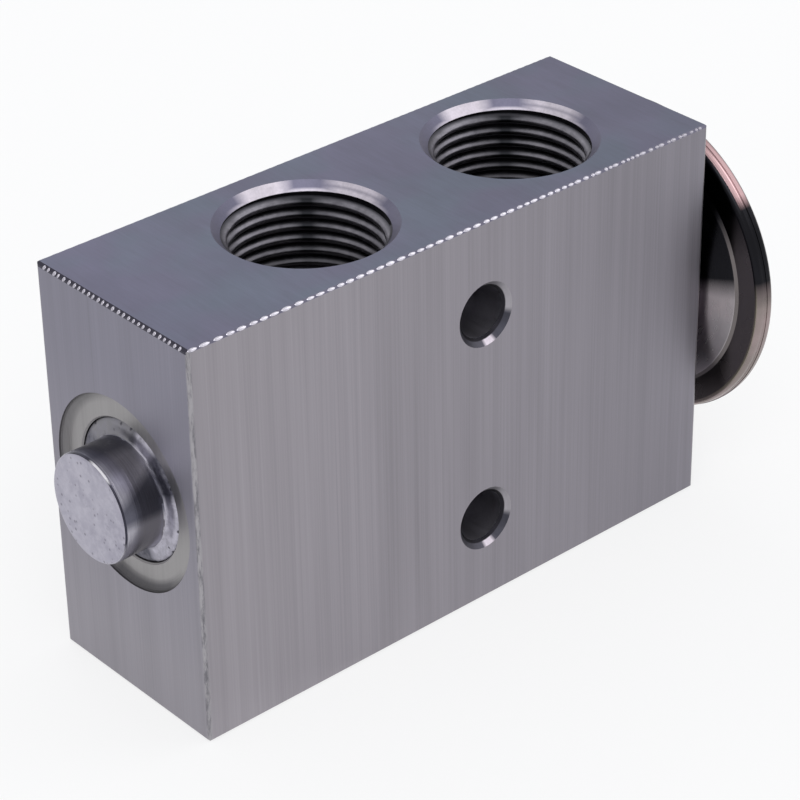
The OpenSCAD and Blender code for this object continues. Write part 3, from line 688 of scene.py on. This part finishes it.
def makePlug(finish):
    nose, front = plug["noseRadius"], plug["noseFront"]
    profile = [
        (0, front), (2.2, front), (4.4, front), (5.9, front), (nose - 0.40, front), (nose - 0.22, front + 0.04),
        (nose - 0.06, front + 0.18), (nose, front + 0.36), (nose, -2.2), (nose, 0.45), (nose + 0.10, 0.78),
        (nose + 0.30, 0.95), (8.2, 1.0), (8.6, 1.02), (9.0, 1.0), (9.35, 1.04), (9.65, 1.12), (9.92, 1.35),
        (10.0, 1.6), (10.0, 5.5), (8.12, 5.55), (8.12, 8.0), (10.0, 8.05), (10.0, 10.0), (5.0, 10.0), (5.0, 6.0),
        (0, 5.0),
    ]
    originX = -block["length"] / 2
    axisZ = block["axisHeight"]
    bm = bmesh.new()
    spinProfile(bm, [((originX + x) * mm, 0, (axisZ + r) * mm) for r, x in profile],
                (0, 0, axisZ * mm), (1, 0, 0), plug["steps"])
    for vert in bm.verts:  # hammered shoulder and a faintly dented front face
        x = vert.co.x / mm - originX
        r = Vector((vert.co.y, vert.co.z - axisZ * mm)).length / mm
        if 7.6 < r < 9.6 and 0.5 < x < 1.4:
            vert.co.x += noise.noise(vert.co * 900) * 0.10 * mm
        if r < 6.6 and x < -5:
            vert.co.x += abs(noise.noise(vert.co * 330 + Vector((3, 1, 2)))) * 0.12 * mm
    piece = finishPiece("endPlugTurned", bm, finish, "housing", 30)
    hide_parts("end_plug")


def makeRimWeld(finish):  # low bead that closes the joint between the two housings
    at, top, low = head["weldAt"], head["weldRadius"], head["weldRadius"] - 0.6
    section = [(low, -0.10), (top - 0.12, -0.22), (top - 0.03, -0.10), (top, 0.04), (top - 0.03, 0.14), (low, 0.10)]
    bm = bmesh.new()
    spinProfile(bm, [((at + x) * mm, 0, (block["axisHeight"] + r) * mm) for r, x in section + section[:1]],
                (0, 0, block["axisHeight"] * mm), (1, 0, 0), head["steps"])
    finishPiece("rimWeld", bm, finish, "housing", 50)


threadFinish = makeThreadFinish()
makeThreads(threadFinish)
print("port threads wound")
cutFinish = makeCutFinish()
makeCuts(cutFinish)
print("edge cuts laid")
plugFinish = makePlugFinish()
makePlug(plugFinish)
print("end plug turned")

# finishes on the CAD nodes

blockFinish = makeBlockFinish()
sheetFinish = makeSheetFinish()
makeRimWeld(sheetFinish)
steelFinish = makePlainMetal("turnedSteel", (0.40, 0.40, 0.40), (0.55, 0.54, 0.53), 0.22, 0.38)
shaftFinish = makePlainMetal("turnedShaft", (0.42, 0.42, 0.44), (0.58, 0.58, 0.60), 0.25, 0.40)
brassFinish = makePlainMetal("turnedBrass", (0.50, 0.36, 0.15), (0.68, 0.50, 0.24), 0.22, 0.36)
ballFinish = makePlainMetal("polishedBall", (0.66, 0.66, 0.68), (0.74, 0.74, 0.76), 0.06, 0.14)
wireFinish = makePlainMetal("springWire", (0.34, 0.34, 0.36), (0.48, 0.48, 0.50), 0.26, 0.40, 1500)
thinFinish = makePlainMetal("thinDiaphragm", (0.52, 0.52, 0.54), (0.62, 0.62, 0.64), 0.16, 0.28, 300)
rubberFinish = makePlainMetal("sealRubber", (0.018, 0.018, 0.020), (0.032, 0.032, 0.034), 0.40, 0.60, 1500, 0.0)
sleeveFinish = makePlainMetal("mouldedSleeve", (0.022, 0.022, 0.025), (0.038, 0.038, 0.042), 0.38, 0.55, 700, 0.0)

nodeFinishes = {
    "valve_body": blockFinish, "end_plug": plugFinish, "plug_o_ring": rubberFinish,
    "adjusting_nut": brassFinish, "superheat_spring": wireFinish, "ball_carrier": steelFinish,
    "damping_ring": wireFinish, "valve_ball": ballFinish, "push_rod": steelFinish,
    "rod_o_ring": rubberFinish, "seal_retainer": steelFinish, "sensing_shaft": shaftFinish,
    "sensing_sleeve": sleeveFinish, "head_neck": steelFinish, "head_o_ring": rubberFinish,
    "lower_housing": sheetFinish, "diaphragm_pad": shaftFinish, "diaphragm": thinFinish,
    "upper_housing": sheetFinish, "charge_plug": steelFinish,
}
for nodeName, finish in nodeFinishes.items():
    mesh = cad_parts[nodeName].data
    mesh.materials.clear()
    mesh.materials.append(finish)
print("finishes on the CAD nodes")

scene.view_settings.view_transform = "Standard"
